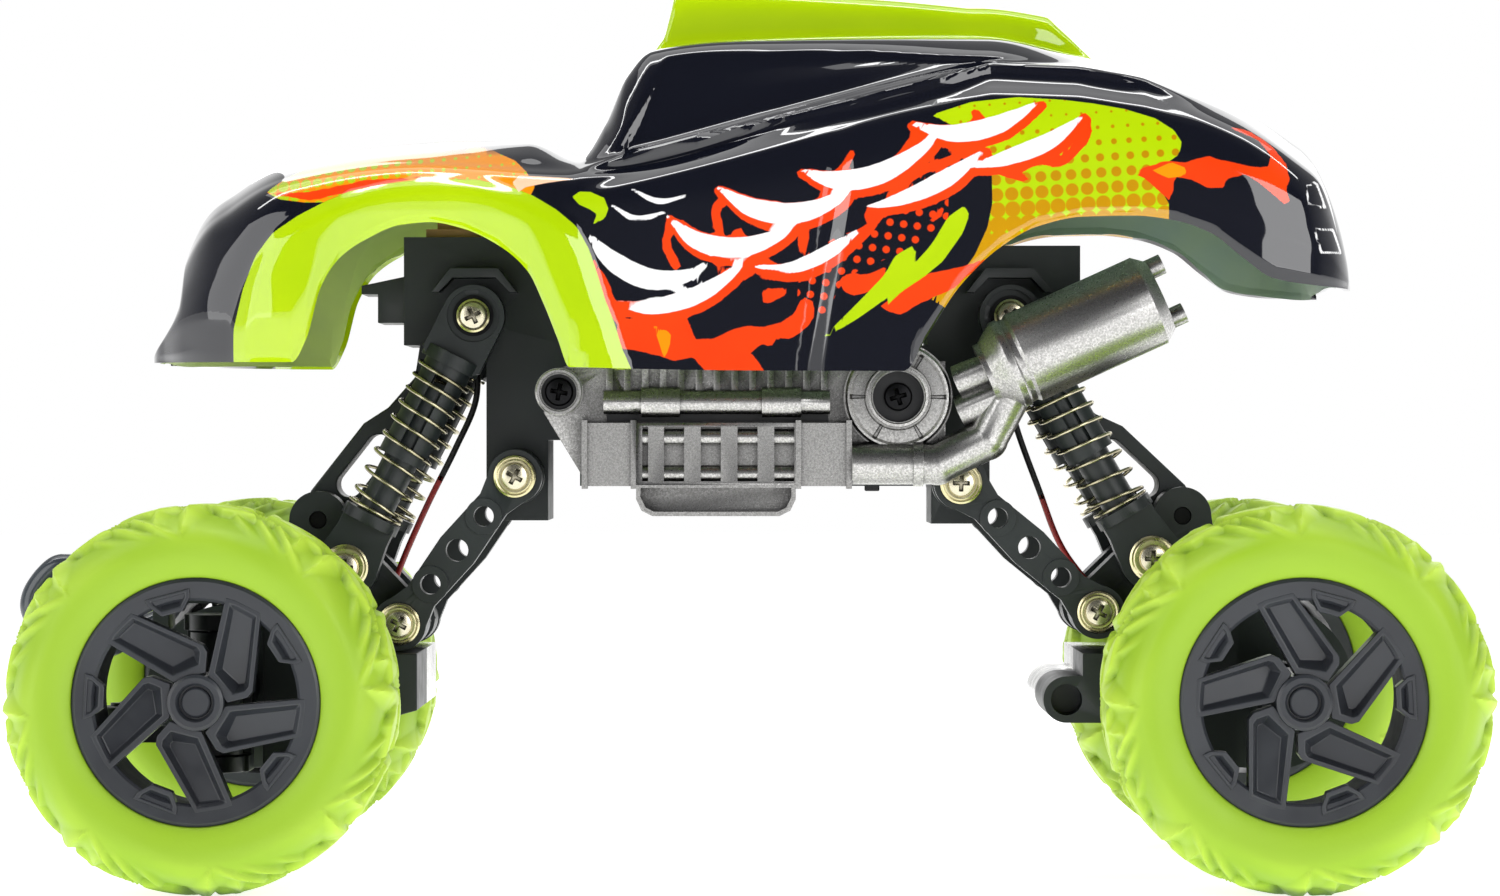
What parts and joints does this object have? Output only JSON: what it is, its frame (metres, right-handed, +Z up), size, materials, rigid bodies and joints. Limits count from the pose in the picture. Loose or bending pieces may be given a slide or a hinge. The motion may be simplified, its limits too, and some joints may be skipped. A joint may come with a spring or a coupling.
{
  "type": "toy crawler truck",
  "caption": "Toy rock-crawler truck with a light painted shell, two sprung solid axles, front steering and four large lugged wheels.",
  "frame": {"origin": "on the ground under the middle of the bounding box", "axes": "+X towards the rear of the truck, +Y towards its right side, +Z up"},
  "size_m": [0.2717, 0.15, 0.1654],
  "materials": {
    "shell_paint": "gloss",
    "dark_plastic": "satin",
    "silver_plastic": "satin metallic",
    "slate_plastic": "satin",
    "tyre_rubber": "matte",
    "nickel": "polished",
    "spring_wire": "polished",
    "gear_plastic": "satin",
    "brass": "satin",
    "motor_can": "satin",
    "battery_wrap": "gloss",
    "board": "matte",
    "lead": "satin"
  },
  "bodies": {
    "chassis": {"body_shell": "shell_paint", "chassis_tub": "dark_plastic", "front_tower": "dark_plastic", "rear_tower": "dark_plastic", "battery_pack": "battery_wrap", "circuit_board": "board", "side_trim_left": "silver_plastic", "side_trim_right": "silver_plastic", "exhausts": "silver_plastic", "chassis_screws": "nickel", "front_motor_lead": "lead", "rear_motor_lead": "lead"},
    "battery_door": {"battery_door": "dark_plastic"},
    "power_switch": {"power_switch": "dark_plastic"},
    "front_arm": {"front_upper_arm": "dark_plastic"},
    "rear_arm": {"rear_upper_arm": "dark_plastic"},
    "front_axle": {"front_axle_case_left": "dark_plastic", "front_axle_case_right": "silver_plastic", "front_link_mount": "dark_plastic", "front_axle_screws": "nickel", "front_motor": "motor_can", "steering_servo": "dark_plastic"},
    "rear_axle": {"rear_axle_case_left": "dark_plastic", "rear_axle_case_right": "silver_plastic", "rear_link_mount": "dark_plastic", "rear_axle_screws": "nickel", "rear_motor": "motor_can"},
    "front_pinion": {"front_pinion": "brass"},
    "rear_pinion": {"rear_pinion": "brass"},
    "front_drive": {"front_drive_gear": "gear_plastic"},
    "rear_wheels": {"rear_drive_gear": "gear_plastic", "tyre_rear_left": "tyre_rubber", "rim_rear_left": "slate_plastic", "tyre_rear_right": "tyre_rubber", "rim_rear_right": "slate_plastic"},
    "tie_rod": {"tie_rod": "dark_plastic"},
    "knuckle_left": {"knuckle_left": "dark_plastic"},
    "knuckle_right": {"knuckle_right": "dark_plastic"},
    "wheel_front_left": {"tyre_front_left": "tyre_rubber", "rim_front_left": "slate_plastic", "stub_axle_left": "nickel"},
    "wheel_front_right": {"tyre_front_right": "tyre_rubber", "rim_front_right": "slate_plastic", "stub_axle_right": "nickel"},
    "front_link_left": {"front_link_left": "dark_plastic"},
    "front_link_right": {"front_link_right": "dark_plastic"},
    "shock_cylinder_front_left": {"shock_cylinder_front_left": "dark_plastic", "spring_front_left": "spring_wire"},
    "shock_rod_front_left": {"shock_rod_front_left": "dark_plastic"},
    "shock_cylinder_front_right": {"shock_cylinder_front_right": "dark_plastic", "spring_front_right": "spring_wire"},
    "shock_rod_front_right": {"shock_rod_front_right": "dark_plastic"},
    "rear_link_left": {"rear_link_left": "dark_plastic"},
    "rear_link_right": {"rear_link_right": "dark_plastic"},
    "shock_cylinder_rear_left": {"shock_cylinder_rear_left": "dark_plastic", "spring_rear_left": "spring_wire"},
    "shock_rod_rear_left": {"shock_rod_rear_left": "dark_plastic"},
    "shock_cylinder_rear_right": {"shock_cylinder_rear_right": "dark_plastic", "spring_rear_right": "spring_wire"},
    "shock_rod_rear_right": {"shock_rod_rear_right": "dark_plastic"}
  },
  "joints": [
    {"name": "front_suspension", "type": "hinge", "parent": "chassis", "child": "front_arm", "pos_m": [-0.05655, 0, 0.0939], "axis": [0, 1, 0], "range_deg": [0, 22], "stiffness_Nm_per_rad": 0.35, "springref_deg": -18.33, "deforming": ["spring_front_left", "spring_front_right", "front_motor_lead"]},
    {"name": "front_axle_level", "type": "hinge", "parent": "front_arm", "child": "front_axle", "pos_m": [-0.07805, 0, 0.0665], "axis": [0, 1, 0], "range_deg": [-22, 0]},
    {"name": "front_link_left_swing", "type": "hinge", "parent": "chassis", "child": "front_link_left", "pos_m": [-0.04075, -0.022, 0.0747], "axis": [0, 1, 0], "range_deg": [0, 22]},
    {"name": "front_link_right_swing", "type": "hinge", "parent": "chassis", "child": "front_link_right", "pos_m": [-0.04075, 0.022, 0.0747], "axis": [0, 1, 0], "range_deg": [0, 22]},
    {"name": "shock_front_left_swing", "type": "hinge", "parent": "chassis", "child": "shock_cylinder_front_left", "pos_m": [-0.04855, -0.02, 0.1046], "axis": [0, 1, 0], "range_deg": [0, 14.53]},
    {"name": "shock_front_left_stroke", "type": "slide", "parent": "shock_cylinder_front_left", "child": "shock_rod_front_left", "axis": [0.4533, 0, 0.8914], "range_m": [0, 0.00328]},
    {"name": "shock_front_right_swing", "type": "hinge", "parent": "chassis", "child": "shock_cylinder_front_right", "pos_m": [-0.04855, 0.02, 0.1046], "axis": [0, 1, 0], "range_deg": [0, 14.53]},
    {"name": "shock_front_right_stroke", "type": "slide", "parent": "shock_cylinder_front_right", "child": "shock_rod_front_right", "axis": [0.4533, 0, 0.8914], "range_m": [0, 0.00328]},
    {"name": "rear_suspension", "type": "hinge", "parent": "chassis", "child": "rear_arm", "pos_m": [0.05855, 0, 0.0913], "axis": [0, -1, 0], "range_deg": [0, 22], "stiffness_Nm_per_rad": 0.35, "springref_deg": -18.33, "deforming": ["spring_rear_left", "spring_rear_right", "rear_motor_lead"]},
    {"name": "rear_axle_level", "type": "hinge", "parent": "rear_arm", "child": "rear_axle", "pos_m": [0.08405, 0, 0.0673], "axis": [0, -1, 0], "range_deg": [-22, 0]},
    {"name": "rear_link_left_swing", "type": "hinge", "parent": "chassis", "child": "rear_link_left", "pos_m": [0.04215, -0.022, 0.0735], "axis": [0, -1, 0], "range_deg": [0, 22]},
    {"name": "rear_link_right_swing", "type": "hinge", "parent": "chassis", "child": "rear_link_right", "pos_m": [0.04215, 0.022, 0.0735], "axis": [0, -1, 0], "range_deg": [0, 22]},
    {"name": "shock_rear_left_swing", "type": "hinge", "parent": "chassis", "child": "shock_cylinder_rear_left", "pos_m": [0.05145, -0.02, 0.1046], "axis": [0, -1, 0], "range_deg": [0, 14.38]},
    {"name": "shock_rear_left_stroke", "type": "slide", "parent": "shock_cylinder_rear_left", "child": "shock_rod_rear_left", "axis": [-0.5043, 0, 0.8635], "range_m": [0, 0.0045]},
    {"name": "shock_rear_right_swing", "type": "hinge", "parent": "chassis", "child": "shock_cylinder_rear_right", "pos_m": [0.05145, 0.02, 0.1046], "axis": [0, -1, 0], "range_deg": [0, 14.38]},
    {"name": "shock_rear_right_stroke", "type": "slide", "parent": "shock_cylinder_rear_right", "child": "shock_rod_rear_right", "axis": [-0.5043, 0, 0.8635], "range_m": [0, 0.0045]},
    {"name": "steering", "type": "hinge", "parent": "front_axle", "child": "knuckle_left", "pos_m": [-0.09505, -0.0355, 0.035], "axis": [0, 0, 1], "range_deg": [-20, 20]},
    {"name": "knuckle_right_turn", "type": "hinge", "parent": "front_axle", "child": "knuckle_right", "pos_m": [-0.09505, 0.0355, 0.035], "axis": [0, 0, 1], "range_deg": [-20, 20]},
    {"name": "tie_rod_slide", "type": "slide", "parent": "front_axle", "child": "tie_rod", "axis": [0, 1, 0], "range_m": [-0.0062, 0.0062]},
    {"name": "wheel_front_left_spin", "type": "hinge", "parent": "knuckle_left", "child": "wheel_front_left", "pos_m": [-0.09505, -0.058, 0.035], "axis": [0, 1, 0], "continuous": true},
    {"name": "wheel_front_right_spin", "type": "hinge", "parent": "knuckle_right", "child": "wheel_front_right", "pos_m": [-0.09505, 0.058, 0.035], "axis": [0, 1, 0], "continuous": true},
    {"name": "front_drive_spin", "type": "hinge", "parent": "front_axle", "child": "front_drive", "pos_m": [-0.09505, 0, 0.035], "axis": [0, 1, 0], "continuous": true},
    {"name": "front_pinion_spin", "type": "hinge", "parent": "front_axle", "child": "front_pinion", "pos_m": [-0.07945, 0, 0.035], "axis": [0, 1, 0], "continuous": true},
    {"name": "rear_wheels_spin", "type": "hinge", "parent": "rear_axle", "child": "rear_wheels", "pos_m": [0.10095, 0, 0.035], "axis": [0, 1, 0], "continuous": true},
    {"name": "rear_pinion_spin", "type": "hinge", "parent": "rear_axle", "child": "rear_pinion", "pos_m": [0.08535, 0, 0.035], "axis": [0, 1, 0], "continuous": true},
    {"name": "battery_door_hinge", "type": "hinge", "parent": "chassis", "child": "battery_door", "pos_m": [-0.00005, 0.0192, 0.0721], "axis": [1, 0, 0], "range_deg": [0, 95]},
    {"name": "power_switch_slide", "type": "slide", "parent": "chassis", "child": "power_switch", "axis": [1, 0, 0], "range_m": [0, 0.003]}
  ],
  "couplings": [
    {"joint": "front_axle_level", "follows": "front_suspension", "ratio": -1},
    {"joint": "front_link_left_swing", "follows": "front_suspension", "ratio": 1},
    {"joint": "front_link_right_swing", "follows": "front_suspension", "ratio": 1},
    {"joint": "shock_front_left_swing", "follows": "front_suspension", "ratio": 0.65804},
    {"joint": "shock_front_left_stroke", "follows": "front_suspension", "m_per_rad": 0.008491},
    {"joint": "shock_front_right_swing", "follows": "front_suspension", "ratio": 0.65804},
    {"joint": "shock_front_right_stroke", "follows": "front_suspension", "m_per_rad": 0.008491},
    {"joint": "rear_axle_level", "follows": "rear_suspension", "ratio": -1},
    {"joint": "rear_link_left_swing", "follows": "rear_suspension", "ratio": 1},
    {"joint": "rear_link_right_swing", "follows": "rear_suspension", "ratio": 1},
    {"joint": "shock_rear_left_swing", "follows": "rear_suspension", "ratio": 0.65135},
    {"joint": "shock_rear_left_stroke", "follows": "rear_suspension", "m_per_rad": 0.011663},
    {"joint": "shock_rear_right_swing", "follows": "rear_suspension", "ratio": 0.65135},
    {"joint": "shock_rear_right_stroke", "follows": "rear_suspension", "m_per_rad": 0.011663},
    {"joint": "knuckle_right_turn", "follows": "steering", "ratio": 1},
    {"joint": "tie_rod_slide", "follows": "steering", "m_per_rad": -0.01764},
    {"joint": "wheel_front_right_spin", "follows": "wheel_front_left_spin", "ratio": 1},
    {"joint": "front_drive_spin", "follows": "wheel_front_left_spin", "ratio": 1},
    {"joint": "front_pinion_spin", "follows": "wheel_front_left_spin", "ratio": -4.2},
    {"joint": "rear_pinion_spin", "follows": "rear_wheels_spin", "ratio": -4.2}
  ]
}
